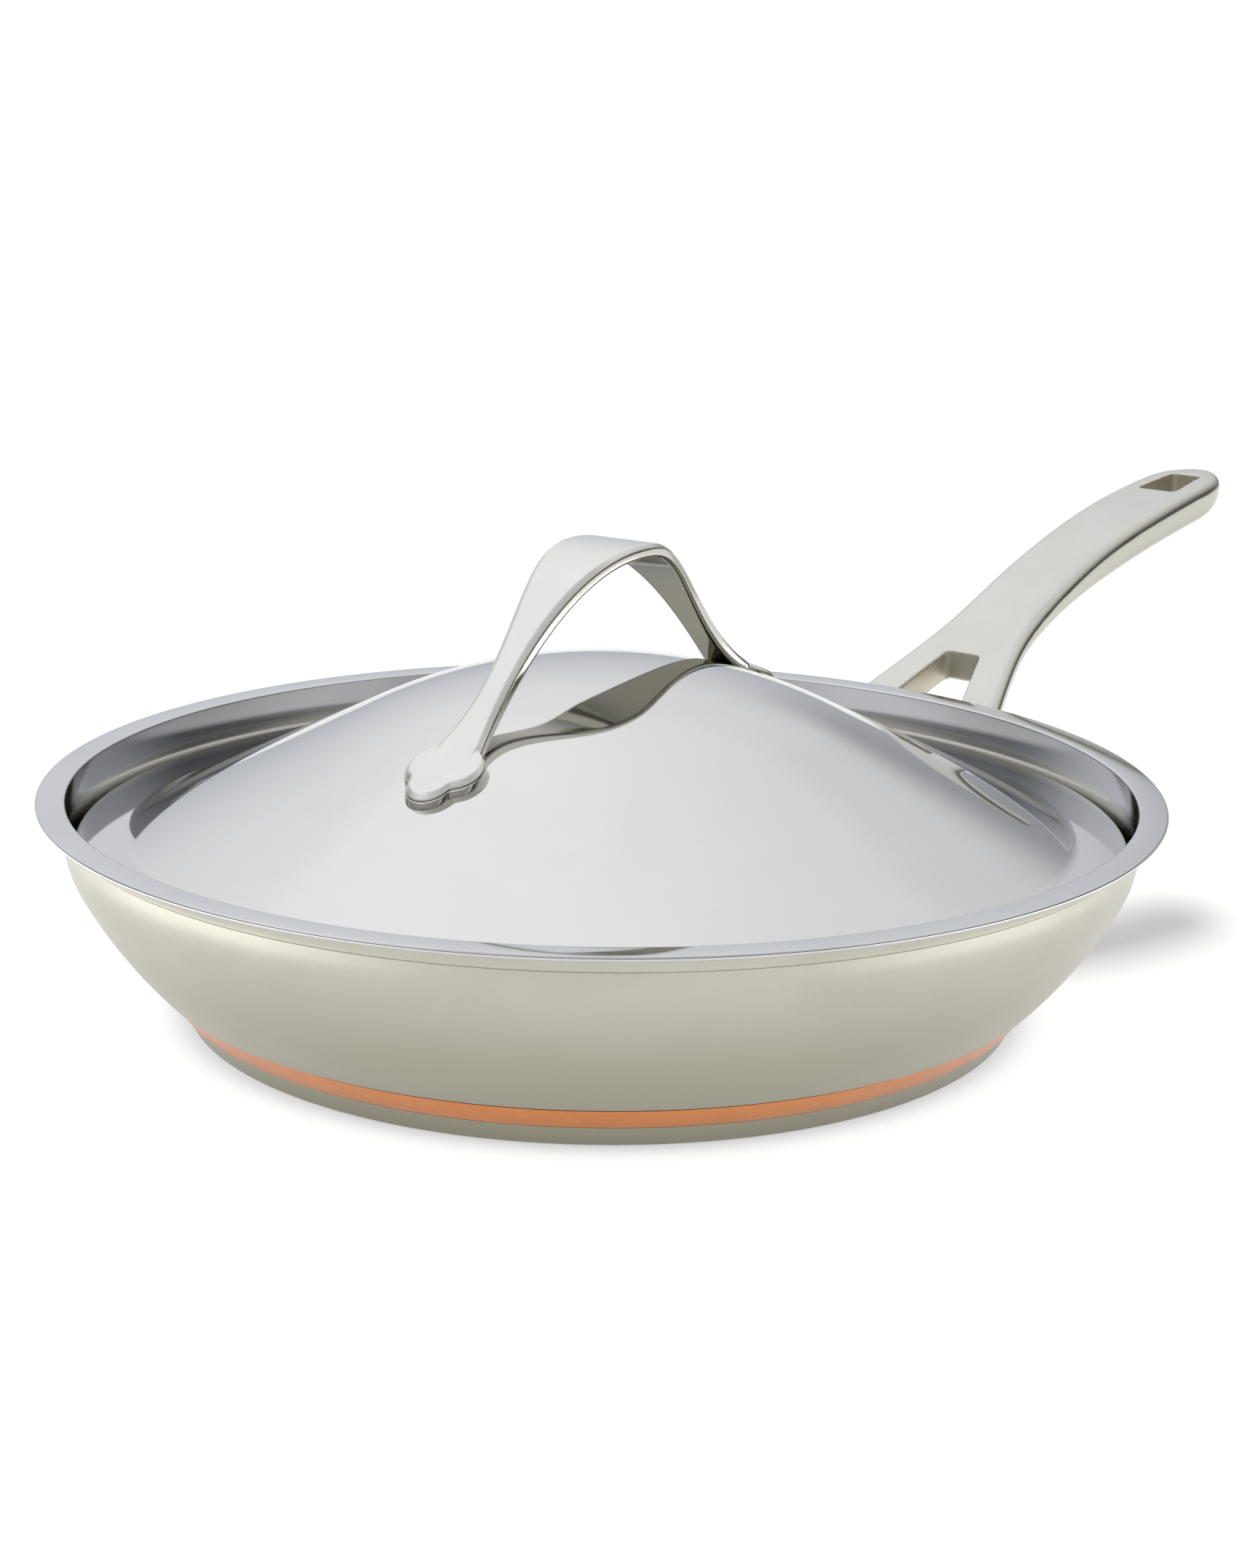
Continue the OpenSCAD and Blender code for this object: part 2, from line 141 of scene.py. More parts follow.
def lid_z(r):
    """Height of the lid's upper surface at radius r."""
    if r < FLANK_X:
        return LID_TOP - CROWN_R + math.sqrt(CROWN_R ** 2 - r * r)
    return LID_TOP - CROWN_R * (1 - math.cos(FLANK)) - (r - FLANK_X) * math.tan(FLANK)


def lid_line(depth):
    """The lid's surface from its middle to its rim, moved down into the metal."""
    flank = math.degrees(FLANK)
    return (arc(0, LID_TOP - CROWN_R, CROWN_R - depth, 90, 90 - flank, 48)
            + arc(RING_IN, LID_FLAT + FOOT_FILLET, FOOT_FILLET + depth, 270 - flank, 270, 12)
            + arc(LID_R - SKIRT_R, LID_FLAT - SKIRT_R, SKIRT_R - depth, 90, 0, 8))


# ---------------------------------------------------------------- finishes
def paint(hex_colour):
    """An sRGB hex colour as linear RGBA."""
    parts = (int(hex_colour[i:i + 2], 16) / 255 for i in (1, 3, 5))
    return [c / 12.92 if c < 0.04045 else ((c + 0.055) / 1.055) ** 2.4 for c in parts] + [1]


def add(tree, kind, settings=None, stops=(), **links):
    """Adds a node; settings are its attributes, links its inputs (a socket or a value), and
    stops the (place, hex colour) pairs of a colour ramp."""
    node = tree.nodes.new(kind)
    for key, value in (settings or {}).items():
        setattr(node, key, value)
    for i, (place, hex_colour) in enumerate(stops):
        band = node.color_ramp.elements
        element = band[i] if i < len(band) else band.new(place)
        element.position, element.color = place, paint(hex_colour)
    for key, value in links.items():
        name = key.replace("_", " ")
        socket = node.inputs[int(name[1:])] if name[0] == "i" and name[1:].isdigit() \
            else node.inputs[name]
        if isinstance(value, bpy.types.NodeSocket):
            tree.links.new(value, socket)
        else:
            socket.default_value = value
    return node


def handle_zones(tree, across):
    """Two shares: 1 on a handle's sides and ends, and 1 on its underside. They mask the painted
    shade there and the sides' own roughness.
    """
    normal = add(tree, "ShaderNodeTexCoord").outputs["Normal"]
    sideways = add(tree, "ShaderNodeVectorMath", {"operation": "DOT_PRODUCT"}, i0=normal,
                   i1=across).outputs["Value"]
    turned_away = add(tree, "ShaderNodeMath", {"operation": "ABSOLUTE"}, i0=sideways).outputs[0]
    beside = add(tree, "ShaderNodeMapRange", {"interpolation_type": "SMOOTHSTEP"},
                 Value=turned_away, From_Min=0.4, From_Max=0.85).outputs[0]
    up = add(tree, "ShaderNodeSeparateXYZ", None, Vector=normal).outputs["Z"]
    ends, under = (add(tree, "ShaderNodeMapRange", {"interpolation_type": "SMOOTHSTEP"}, Value=up,
                       From_Min=low, From_Max=high).outputs[0]
                   for low, high in ((0.6, 0.25), (-0.1, -0.7)))
    return add(tree, "ShaderNodeMath", {"operation": "MAXIMUM"}, i0=beside,
               i1=ends).outputs[0], under


def metal(name, hex_colour, hex_worn, rough, rough_spread, grain_mm, bump, turned_grain=True,
          edge=1.0, anisotropic=0.0, smear_mm=35.0, smear=0.04, across=None, sides=("#C6C5BA", 0.2),
          hex_under="#A19E8E", low=None):
    """A metal finish: grain lines round the axis or an even grain, faint smears in the
    gloss, and a slow drift of colour. Grain sizes are real distances between lines.
    edge is how bright the metal stays where it is seen at a glance.
    across is the direction across a handle, whose sides have their own roughness and a darker
    colour that is painted shade, and whose underside is hex_under, painted darker still as shade.
    low is (colour, height from, height to) for painted shade that darkens a body towards its foot."""
    finish = bpy.data.materials.new(name)
    finish.use_nodes = True
    tree = finish.node_tree
    tree.nodes.clear()
    place = add(tree, "ShaderNodeTexCoord").outputs["Object"]
    if turned_grain:
        # radius and height only, so that every line runs round the axis
        split = add(tree, "ShaderNodeSeparateXYZ", None, Vector=place).outputs
        flat = add(tree, "ShaderNodeCombineXYZ", None, X=split["X"], Y=split["Y"]).outputs[0]
        radius = add(tree, "ShaderNodeVectorMath", {"operation": "LENGTH"},
                     i0=flat).outputs["Value"]
        lines = add(tree, "ShaderNodeCombineXYZ", None, X=radius, Y=split["Z"]).outputs[0]
    else:
        lines = place
    grain = add(tree, "ShaderNodeTexNoise", None, Vector=lines, Scale=1 / (grain_mm * MM),
                Detail=3.0, Roughness=0.6).outputs["Fac"]
    smears = add(tree, "ShaderNodeTexNoise", None, Vector=place, Scale=1 / (smear_mm * MM),
                 Detail=4.0, Roughness=0.62, Distortion=0.6).outputs["Fac"]
    colour = add(tree, "ShaderNodeValToRGB", None, [(0.3, hex_worn), (0.7, hex_colour)],
                 Fac=smears).outputs["Color"]
    rough_grain, rough_smear = (
        add(tree, "ShaderNodeMapRange", None, Value=pattern, To_Min=middle - swing,
            To_Max=middle + swing).outputs["Result"]
        for pattern, middle, swing in ((grain, rough, rough_spread), (smears, 0.0, smear)))
    roughness = add(tree, "ShaderNodeMath", {"operation": "ADD", "use_clamp": True},
                    i0=rough_grain, i1=rough_smear).outputs[0]
    strength = 1.0
    # painted shade: the colour darkens towards the foot of a body
    if low:
        level = add(tree, "ShaderNodeSeparateXYZ", None, Vector=place).outputs["Z"]
        painted_foot_shade = add(tree, "ShaderNodeMapRange", {"interpolation_type": "SMOOTHSTEP"},
                         Value=level, From_Min=low[2] * MM, From_Max=low[1] * MM).outputs[0]
        colour = add(tree, "ShaderNodeMix", {"data_type": "RGBA"}, i0=painted_foot_shade, i6=colour,
                     i7=paint(low[0])).outputs[2]
    if across:
        beside, under = handle_zones(tree, across)
        # painted shade: the sides, and the underside more, get darker colours than the top
        colour = add(tree, "ShaderNodeMix", {"data_type": "RGBA"}, i0=beside, i6=colour,
                     i7=paint(sides[0])).outputs[2]
        colour = add(tree, "ShaderNodeMix", {"data_type": "RGBA"}, i0=under, i6=colour,
                     i7=paint(hex_under)).outputs[2]
        roughness = add(tree, "ShaderNodeMix", None, i0=beside, i2=roughness,
                        i3=sides[1]).outputs[0]
        strength = add(tree, "ShaderNodeMapRange", None, Value=beside, To_Min=1.0,
                       To_Max=0.3).outputs["Result"]
    relief = add(tree, "ShaderNodeBump", None, Strength=strength, Distance=bump * MM,
                 Height=grain).outputs["Normal"]
    shader = add(tree, "ShaderNodeBsdfPrincipled", None, Base_Color=colour, Metallic=1.0,
                 Roughness=roughness, Anisotropic=anisotropic, Normal=relief)
    shader.inputs["Specular Tint"].default_value = (edge, edge, edge, 1)
    if anisotropic:
        around = add(tree, "ShaderNodeTangent", {"direction_type": "RADIAL", "axis": "Z"})
        tree.links.new(around.outputs["Tangent"], shader.inputs["Tangent"])
    out = add(tree, "ShaderNodeOutputMaterial")
    tree.links.new(shader.outputs[0], out.inputs["Surface"])
    return finish


# Drawn 18/10 stainless steel, brushed round the axis: broad soft highlights, warm grey, and painted
# shade that darkens it towards the foot
BRUSHED_BODY = metal("brushed stainless steel", "#C0BEB2", "#B8B6AA", 0.30, 0.05, 0.5, 0.012,
                     anisotropic=0.5, low=("#9D9887", 18, 56))
# The same sheet buffed to a mirror on the rim: cool and bright, with crisp edges
BUFFED_RIM = metal("buffed stainless steel", "#D0D0D3", "#C9C9CD", 0.09, 0.02, 0.35, 0.0015,
                   smear=0.02)
# Inside of the neck, where the buffing wheel has left a softer and warmer shine
BUFFED_NECK = metal("softly buffed stainless steel", "#DCDBD4", "#D4D3CC", 0.13, 0.03, 0.5, 0.003,
                    smear=0.03)
# Inside of the pan: turned satin, with slightly coarser rings
TURNED_INSIDE = metal("turned stainless steel", "#CAC9C4", "#C0BFBA", 0.27, 0.05, 0.8, 0.008,
                      anisotropic=0.4)
# Lid sheet, mirror polished: nearly no grain, only faint cloth smears
MIRROR_LID = metal("mirror polished stainless steel", "#D8D8D9", "#D4D4D5", 0.05, 0.008, 0.6,
                   0.0006, smear=0.012, smear_mm=60, edge=0.93)
# Cast stainless steel, its top face blasted to a pale even satin, its sides rubbed smoother; its
# sides and underside are painted darker as shade
HANDLE_CAST = metal("satin cast stainless steel", "#D3D3D0", "#CCCCC8", 0.34, 0.04, 0.5, 0.008,
                    turned_grain=False, smear_mm=22, across=(0, 1, 0))
# The same casting with a finer blast and buffed edges, as fingers leave it; its sides and underside
# are painted darker as shade
STRAP_CAST = metal("satin cast steel strap", "#DDDDDB", "#D7D7D5", 0.26, 0.03, 0.5, 0.004,
                   turned_grain=False, smear_mm=22, sides=("#C9C8C0", 0.12),
                   across=(-math.sin(LID_TURN), math.cos(LID_TURN), 0))
# The same casting where no tool has reached: dull, with the mould's coarse grain
CAST_WALLS = metal("raw cast stainless steel", "#D2CEBE", "#C4BFAC", 0.48, 0.08, 0.9, 0.05,
                   turned_grain=False, smear_mm=12)
# Cold-headed rivet steel: an even soft shine from the heading die
RIVET_STEEL = metal("headed steel rivet", "#CFCFCC", "#C4C4C0", 0.22, 0.05, 0.4, 0.006,
                    turned_grain=False, smear_mm=8)
# Copper plate turned on a lathe and left satin
TURNED_COPPER = metal("turned copper", "#D58A54", "#C97D47", 0.30, 0.05, 0.4, 0.01,
                      anisotropic=0.4, smear_mm=18)
# Cold-rolled aluminium, seen as a thin recessed line: dull, and painted dark as the shade in the
# recess
RECESS_SHADED_ALUMINIUM = metal("plain aluminium", "#4E4B47", "#44413D", 0.55, 0.06, 0.5, 0.01)


# ---------------------------------------------------------------- mesh tools
def mesh_object(name, mesh):
    made = bpy.data.objects.new(name, mesh)
    bpy.context.collection.objects.link(made)
    return made


def smooth(mesh, sharp=38.0):
    """Smooth shading, with edges kept where faces meet at more than sharp degrees."""
    mesh.shade_smooth()
    mesh.set_sharp_from_angle(angle=math.radians(sharp))


def turned(name, outline, finishes, segments=288, sharp=38.0):
    """A solid of revolution from a closed outline. Each outline point is (radius, height)
    or (radius, height, finish number of the face that starts there)."""
    work = bmesh.new()
    rings = []
    for point in outline:
        r, z = point[0] * MM, point[1] * MM
        if r < 1e-9:
            rings.append([work.verts.new((0, 0, z))])
        else:
            rings.append([work.verts.new((r * math.cos(2 * math.pi * k / segments),
                                          r * math.sin(2 * math.pi * k / segments), z))
                          for k in range(segments)])
    for i, point in enumerate(outline):
        a, b = rings[i], rings[(i + 1) % len(rings)]
        if len(a) == 1 and len(b) == 1:
            continue
        for k in range(segments):
            n = (k + 1) % segments
            corners = [a[k % len(a)], a[n % len(a)], b[n % len(b)], b[k % len(b)]]
            unique = list(dict.fromkeys(corners))
            face = work.faces.new(unique)
            face.material_index = point[2] if len(point) > 2 else 0
    bmesh.ops.recalc_face_normals(work, faces=work.faces)
    mesh = bpy.data.meshes.new(name)
    work.to_mesh(mesh)
    work.free()
    for finish in finishes:
        mesh.materials.append(finish)
    smooth(mesh, sharp)
    return mesh_object(name, mesh)


def loft(name, rings):
    """A closed solid through rings of (x, y, z) points in millimetres."""
    work = bmesh.new()
    made = [[work.verts.new(Vector(p) * MM) for p in ring] for ring in rings]
    count = len(rings[0])
    for a, b in zip(made, made[1:]):
        for k in range(count):
            n = (k + 1) % count
            work.faces.new((a[k], a[n], b[n], b[k]))
    work.faces.new(made[0])
    work.faces.new(made[-1][::-1])
    bmesh.ops.recalc_face_normals(work, faces=work.faces)
    mesh = bpy.data.meshes.new(name)
    work.to_mesh(mesh)
    work.free()
    return mesh_object(name, mesh)


def bake(made):
    """Applies the object's modifiers to its mesh."""
    seen = made.evaluated_get(bpy.context.evaluated_depsgraph_get())
    mesh = bpy.data.meshes.new_from_object(seen)
    made.modifiers.clear()
    made.data = mesh
    return made


def cut(made, tool, operation="DIFFERENCE"):
    """Cuts made with tool, or joins tool to it, and throws tool away."""
    change = made.modifiers.new("cut", "BOOLEAN")
    change.object, change.operation, change.solver = tool, operation, "EXACT"
    bake(made)
    bpy.data.objects.remove(tool)
    return made


def cast(made, grain, rounds, finish, sharp=180.0):
    """Fuses the object's overlapping shells into one skin with softened edges, as a
    casting has. grain is the size of the new faces in millimetres."""
    skin = made.modifiers.new("skin", "REMESH")
    skin.mode, skin.voxel_size, skin.adaptivity = "VOXEL", grain * MM, 0.0
    ease = made.modifiers.new("ease", "SMOOTH")
    ease.factor, ease.iterations = 0.5, rounds
    bake(made)
    made.data.materials.clear()
    made.data.materials.append(finish)
    smooth(made.data, sharp)
    return made


def join(made, *others):
    """Puts the meshes of the others into made."""
    work = bmesh.new()
    for each in (made, *others):
        each.data.transform(each.matrix_world)
        work.from_mesh(each.data)
        each.matrix_world = Matrix()
    work.to_mesh(made.data)
    work.free()
    for each in others:
        bpy.data.objects.remove(each)
    return made


# ---------------------------------------------------------------- pan and base
def inner_wall():
    """The inner wall from the floor's corner up to the neck."""
    z = BASE_TOP + WALL + FLOOR_R
    rest = SIDE_R - WALL - FLOOR_R
    x = SIDE_X + math.sqrt(rest ** 2 - (SIDE_Z - z) ** 2)
    turn = math.asin((SIDE_Z - z) / rest)
    return arc(x, z, FLOOR_R, -90, -math.degrees(turn), 12) + wall_line(WALL, turn)[1:]


def pan_body():
    brushed, buffed, inside, neck = 0, 1, 2, 3
    outline = [(0, BASE_TOP, brushed)]
    outline += [(r, z, brushed) for r, z in wall_line(0)]
    outline += [(NECK_R, CREASE_Z - 0.5, brushed)]
    outline += [(r, z, brushed) for r, z in
                arc(NECK_R + CREASE_STEP + FLARE_R, CREASE_Z, FLARE_R, 180, 90, 14)]
    outline += [(r, z, buffed) for r, z in
                arc(RIM_R - RIM_T / 2, RIM_Z - RIM_T / 2, RIM_T / 2, -90, 90, 12)]
    outline += [(r, z, buffed) for r, z in
                arc(NECK_R - WALL + LIP_R, RIM_Z - LIP_R, LIP_R, 90, 180, 12)]
    inner = inner_wall()[::-1]
    outline += [(r, z, neck if z > SHOULDER_Z - 8 else inside) for r, z in inner]
    outline += [(0, BASE_TOP + WALL, inside)]
    return turned("pan_drawn_body", outline, [BRUSHED_BODY, BUFFED_RIM, TURNED_INSIDE,
                                               BUFFED_NECK])


def band_inside(z):
    return BAND_LOW_R + (z - CAP_H) * BAND_SLOPE - BAND_W


def copper_band():
    core = CAP_H + (BAND_H - PLATE_T) / 2
    soft = 0.35
    lean = Vector((BAND_SLOPE, 1)).normalized() * soft
    outline = [(0, core), (band_inside(core), core), (band_inside(CAP_H), CAP_H),
               (BAND_LOW_R - soft, CAP_H), (BAND_LOW_R - soft * 0.2, CAP_H + soft * 0.2),
               (BAND_LOW_R + lean.x, CAP_H + lean.y), (BAND_TOP_R - lean.x, BAND_Z - lean.y),
               (BAND_TOP_R - soft * 0.2, BAND_Z - soft * 0.2), (BAND_TOP_R - soft, BAND_Z),
               (band_inside(BAND_Z), BAND_Z), (band_inside(core + PLATE_T), core + PLATE_T),
               (0, core + PLATE_T)]
    return turned("base_copper_plate_and_band", outline, [TURNED_COPPER], sharp=60)


def steel_cap():
    low = CAP_TOP_R - (CAP_H - CAP_EDGE) * math.tan(CAP_SLOPE) - CAP_EDGE / math.cos(CAP_SLOPE)
    outline = [(0, 0)]
    outline += arc(low, CAP_EDGE, CAP_EDGE, -90, -math.degrees(CAP_SLOPE), 10)
    outline += [(CAP_TOP_R - 0.16, CAP_H - 0.3), (CAP_TOP_R - 0.3, CAP_H)]
    outline += [(band_inside(CAP_H), CAP_H), (low - 0.6, CAP_T), (0, CAP_T)]
    # The body's finish. The cap lies wholly below the painted foot shade's lower height, so it is
    # painted that dark colour all over.
    return turned("base_steel_cap", outline, [BRUSHED_BODY], sharp=50)


# ---------------------------------------------------------------- pan handle
def soft_max(a, b, k):
    return (a + b) / 2 + math.sqrt(((a - b) / 2) ** 2 + k * k)


def handle_line(t):
    """The middle of the handle's top face, from the pan wall to the tip."""
    reach = TIP_X - ROOT_X
    root, tip = ROOT_REACH * reach, TIP_REACH * reach
    points = ((ROOT_X, ROOT_Z), (ROOT_X + root, ROOT_Z + root * ROOT_RISE),
              (TIP_X - tip, TIP_Z - tip * GRIP_RISE), (TIP_X, TIP_Z))
    weights = ((1 - t) ** 3, 3 * t * (1 - t) ** 2, 3 * t * t * (1 - t), t ** 3)
    return [sum(w * p[i] for w, p in zip(weights, points)) for i in (0, 1)]


def tip_share(x):
    """1 along the handle, falling to 0 at the rounded tip."""
    past = (x - TIP_X + TIP_L) / TIP_L
    return 1.0 if past < 0 else math.sqrt(max(0.0, 1 - past ** TIP_POWER))


def handle_half(x):
    swell = SWELL * math.cos(math.pi / 2 * (x - SWELL_X) / SWELL_L) ** 2 \
        if abs(x - SWELL_X) < SWELL_L else 0
    root = ROOT_W - ROOT_FLANK * (x - ROOT_X - 11.5)
    return tip_share(x) * (swell + soft_max(root, NECK_W, ROOT_SOFT))


def handle_thick(x):
    """Thin at the root, thick in the grip, thinning out at the tip."""
    grown = min(1, max(0, (x - GROW_X) / GROW_L))
    thick = ROOT_T + (HANDLE_T - ROOT_T) * math.sin(math.pi / 2 * grown) ** 2
    return (0.5 + 0.5 * tip_share(x)) * thick


def handle_ring(t):
    """Flat top with rounded edges, upright sides, and a broad rounding underneath."""
    x, top = handle_line(t)
    h = max(0.4, handle_half(x))
    z = top - TIP_DROP * (1 - tip_share(x))
    thick = handle_thick(x)
    edge = min(HANDLE_EDGE, h * 0.5, thick * 0.4)
    under = UNDER_R * min(1, h / UNDER_R)
    deep = thick - edge - 0.5
    side = [(0, 0.0), ((h - edge) / 2, 0.0)]
    side += [(h - edge + edge * math.sin(a), edge * (math.cos(a) - 1))
             for a in (math.radians(15 * i) for i in range(7))]
    side += [(h - under * 0.97 * (1 - math.cos(a)), -edge - 0.5 - deep * math.sin(a))
             for a in (math.radians(10 * i) for i in range(10))]
    side += [((h - under) / 2, -thick), (0, -thick)]
    right = [(x, y, z + dz) for y, dz in side]
    left = [(x, -y, z + dz) for y, dz in side[-2:0:-1]]
    return right + left


def slab(name, outline, low, high):
    """An upright prism over a flat outline, in millimetres."""
    return loft(name, [[(x, y, z) for x, y in outline] for z in (low, high)])


def rounded_outline(x0, w0, x1, w1, r, steps=8):
    """A tapered shape with round corners, from half width w0 at x0 to w1 at x1."""
    corners = ((x1 - r, w1 - r, 0), (x0 + r, w0 - r, 90), (x0 + r, r - w0, 180),
               (x1 - r, r - w1, 270))
    return [p for cx, cy, a in corners for p in arc(cx, cy, r, a, a + 90, steps)]


def pan_handle():
    grip = loft("pan_cast_handle", [handle_ring(-0.03 + 0.98 * i / 110) for i in range(110)]
                + [handle_ring(0.95 + 0.05 * math.sin(math.pi / 2 * i / 24))
                   for i in range(25)])
    window = rounded_outline(WINDOW_X, WINDOW_ROOT_W, WINDOW_X + WINDOW_L, WINDOW_W, HOLE_R)
    slot = rounded_outline(SLOT_X, SLOT_W, SLOT_X + SLOT_L, SLOT_END_W, HOLE_R)
    cut(grip, slab("window", window, 20, 110))
    cut(grip, slab("slot", slot, 80, 140))
    top = ROOT_Z - 1
    pad = turned("pad", [(ROOT_X - 30, BASE_TOP)] + wall_line(-PAD_T)
                 + [(ROOT_X - 30, SHOULDER_Z)], [], segments=360)
    block = slab("block", rounded_outline(-top, ROOT_W, -PAD_LOW, ROOT_W - 2, PAD_R),
                 ROOT_X - 30, ROOT_X + 30)
    block.data.transform(Matrix.Rotation(math.pi / 2, 4, "Y"))
    cut(pad, block, "INTERSECT")
    join(grip, pad)
    cut(cast(grip, 0.5, 6, HANDLE_CAST), turned("pan_space", PAN_SPACE, [], segments=360))
    smooth(grip.data, 60)
    grip.data.materials.append(CAST_WALLS)
    for face in grip.data.polygons:
        x, y = face.center.x / MM, abs(face.center.y) / MM
        in_window = WINDOW_X - 1 < x < WINDOW_X + WINDOW_L + 1 and y < WINDOW_ROOT_W + 1
        in_slot = SLOT_X - 1 < x < SLOT_X + SLOT_L + 1 and y < SLOT_W + 1
        if (in_window or in_slot) and abs(face.normal.z) < 0.35:
            face.material_index = 1
    return grip


# ---------------------------------------------------------------- lid
def lid_dome():
    outline = lid_line(0)
    outline += [(LID_R, LID_LOW + 0.5), (LID_R - 0.3, LID_LOW + 0.1), (LID_R - 0.8, LID_LOW),
                (LID_R - HEM_T + 0.2, LID_LOW + 0.15), (LID_R - HEM_T, LID_LOW + 0.6),
                (LID_R - HEM_T, LID_LOW + HEM_T), (LID_R - LID_T, LID_LOW + HEM_T + 0.8)]
    outline += lid_line(LID_T)[::-1]
    return turned("lid_drawn_dome", outline, [MIRROR_LID], segments=360)


def arch(u):
    return math.cos(math.pi / 2 * (u / ARCH_HALF) ** ARCH_POWER) ** 2 if u < ARCH_HALF else 0.0


def strap_top(u):
    return lid_z(u) + FOOT_T + ARCH_RISE * arch(u)


def strap_half(u):
    if u < LEG_X:
        return LEG_W + (TOP_W - LEG_W) * math.cos(math.pi / 2 * u / LEG_X) ** 2
    return LEG_W + LEG_FLARE * min(1, ((u - LEG_X) / FLARE_L) ** 2)


def strap_ring(u):
    """Satin top face, broad bevels, and an underside that comes down on to the dome."""
    a = abs(u)
    h, top = strap_half(a), strap_top(a)
    slope = strap_top(a + 0.5) - strap_top(abs(a - 0.5))
    thick = STRAP_T * math.sqrt(1 + slope ** 2)
    edge = STRAP_BEVEL
    side = [(0, 0), (h * 0.3, 0), (h * 0.6, 0), (h - edge * 1.3, 0), (h - edge * 1.15, -0.04),
            (h - edge * 0.2, -edge * 0.75), (h - edge * 0.05, -edge), (h, -edge * 1.25),
            (h, -thick + edge * 0.9), (h - edge * 0.1, -thick + edge * 0.5),
            (h - edge * 0.8, -thick + 0.1), (h - edge, -thick), (h * 0.5, -thick), (0, -thick)]

    def place(v, dz):
        r = math.hypot(u, v)
        sink = (1 - arch(a)) * (lid_z(r) - lid_z(a))
        return (u, v, max(top + sink + dz, lid_z(r) + SUNK))
    return [place(v, dz) for v, dz in side] + [place(-v, dz) for v, dz in side[-2:0:-1]]


def foot_reach(turn):
    """Distance from the foot's middle to its three-lobed edge, in that direction."""
    best = 0.0
    for cx, cy, r in FOOT_LOBES:
        along = cx * math.cos(turn) + cy * math.sin(turn)
        aside = abs(cx * math.sin(turn) - cy * math.cos(turn))
        if aside < r:
            best = soft_max(best, along + math.sqrt(r * r - aside * aside), 0.25)
    return best


def foot(side):
    """A three-lobed plate that lies on the dome, with a rounded edge."""
    count = 120
    levels = ((1.0, SUNK), (1.0, FOOT_T - 1.7), (0.985, FOOT_T - 1.2), (0.90, FOOT_T - 0.15),
              (0.87, FOOT_T), (0.5, FOOT_T), (0.02, FOOT_T))
    rings = []
    for share, height in ((0.02, SUNK), *levels):
        ring = []
        for k in range(count):
            turn = 2 * math.pi * k / count
            reach = foot_reach(turn) * share
            u, v = FOOT_X + reach * math.cos(turn), reach * math.sin(turn)
            ring.append((side * u, side * v, lid_z(math.hypot(u, v)) + height))
        rings.append(ring)
    return loft("foot", rings)


def lid_handle():
    steps = [ARCH_HALF * i / 120 for i in range(-120, 121)]
    strap = loft("lid_cast_handle", [strap_ring(u) for u in steps])
    join(strap, foot(1), foot(-1))
    cast(strap, 0.22, 18, STRAP_CAST)
    strap.data.transform(Matrix.Rotation(LID_TURN, 4, "Z"))
    return strap


# ---------------------------------------------------------------- pieces on their bodies
def stands_for(piece, body, slot, *nodes):
    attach(piece, body)
    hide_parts(*nodes)


stands_for(pan_body(), "pan", "body_steel", "pan_body")
stands_for(copper_band(), "pan", "copper", "base_copper")
stands_for(steel_cap(), "pan", "body_steel", "base_cap")
stands_for(pan_handle(), "pan", "handle_steel", "pan_handle")
stands_for(lid_dome(), "lid", "polished_steel", "lid_dome")
stands_for(lid_handle(), "lid", "handle_steel", "lid_handle")
for node, finish in (("base_upper_aluminium", RECESS_SHADED_ALUMINIUM),
                     ("base_lower_aluminium", RECESS_SHADED_ALUMINIUM),
                     ("pan_handle_rivets", RIVET_STEEL), ("lid_handle_rivets", RIVET_STEEL)):
    kept = frame["nodes"][node]
    kept.data.materials.clear()
    kept.data.materials.append(finish)


# ---------------------------------------------------------------- floor, light, camera
# The viewer stands at this angle about the pan
VIEW_TURN = math.radians(-50)


def floor():
    work = bmesh.new()
    bmesh.ops.create_grid(work, x_segments=4, y_segments=4, size=8.0)
    mesh = bpy.data.meshes.new("studio_floor")
    work.to_mesh(mesh)
    work.free()
    made = mesh_object("studio_floor", mesh)
    made.location.z = -0.0002
    paper = bpy.data.materials.new("matt white paper")
    paper.use_nodes = True
    shader = paper.node_tree.nodes["Principled BSDF"]
    shader.inputs["Base Color"].default_value = paint("#F4F4F3")
    shader.inputs["Roughness"].default_value = 0.9
    shader.inputs["Specular IOR Level"].default_value = 0.1
    mesh.materials.append(paper)


def toward(azimuth, elevation, distance=1.0):
    """A point seen from the pan's middle at that azimuth (0 is towards the viewer, 90 to
    the viewer's right) and elevation in degrees."""
    a, e = math.radians(azimuth) + VIEW_TURN, math.radians(elevation)
    return Vector((math.sin(a) * math.cos(e), -math.cos(a) * math.cos(e), math.sin(e))) * distance


def floor_panel(name, azimuth, distance, length, width, watts, height=0.07):
    """A panel above the floor beside the pan, facing down. The bright patch of floor under
    it shows in the pan's wall; the panel itself shows in nothing."""
    lamp = bpy.data.lights.new(name, "AREA")
    lamp.shape, lamp.size, lamp.size_y, lamp.energy = "RECTANGLE", length, width, watts
    made = mesh_object(name, lamp)
    made.location = toward(azimuth, 0, distance) + Vector((0, 0, height))
    made.rotation_euler.z = math.radians(azimuth) + VIEW_TURN
    made.visible_glossy = False
    made.visible_camera = False


def floor_light(shadow_of):
    """An even light on the floor from behind; only the raised handle shades it."""
    lamp = bpy.data.lights.new("floor_light", "SUN")
    lamp.angle, lamp.energy = math.radians(6.5), 3.3
    made = mesh_object("floor_light", lamp)
    made.rotation_euler = (-toward(171, 32)).to_track_quat("-Z", "Y").to_euler()
    made.visible_glossy = False
    shading = bpy.data.collections.new("shades_the_floor")
    shading.objects.link(shadow_of)
    made.light_linking.blocker_collection = shading


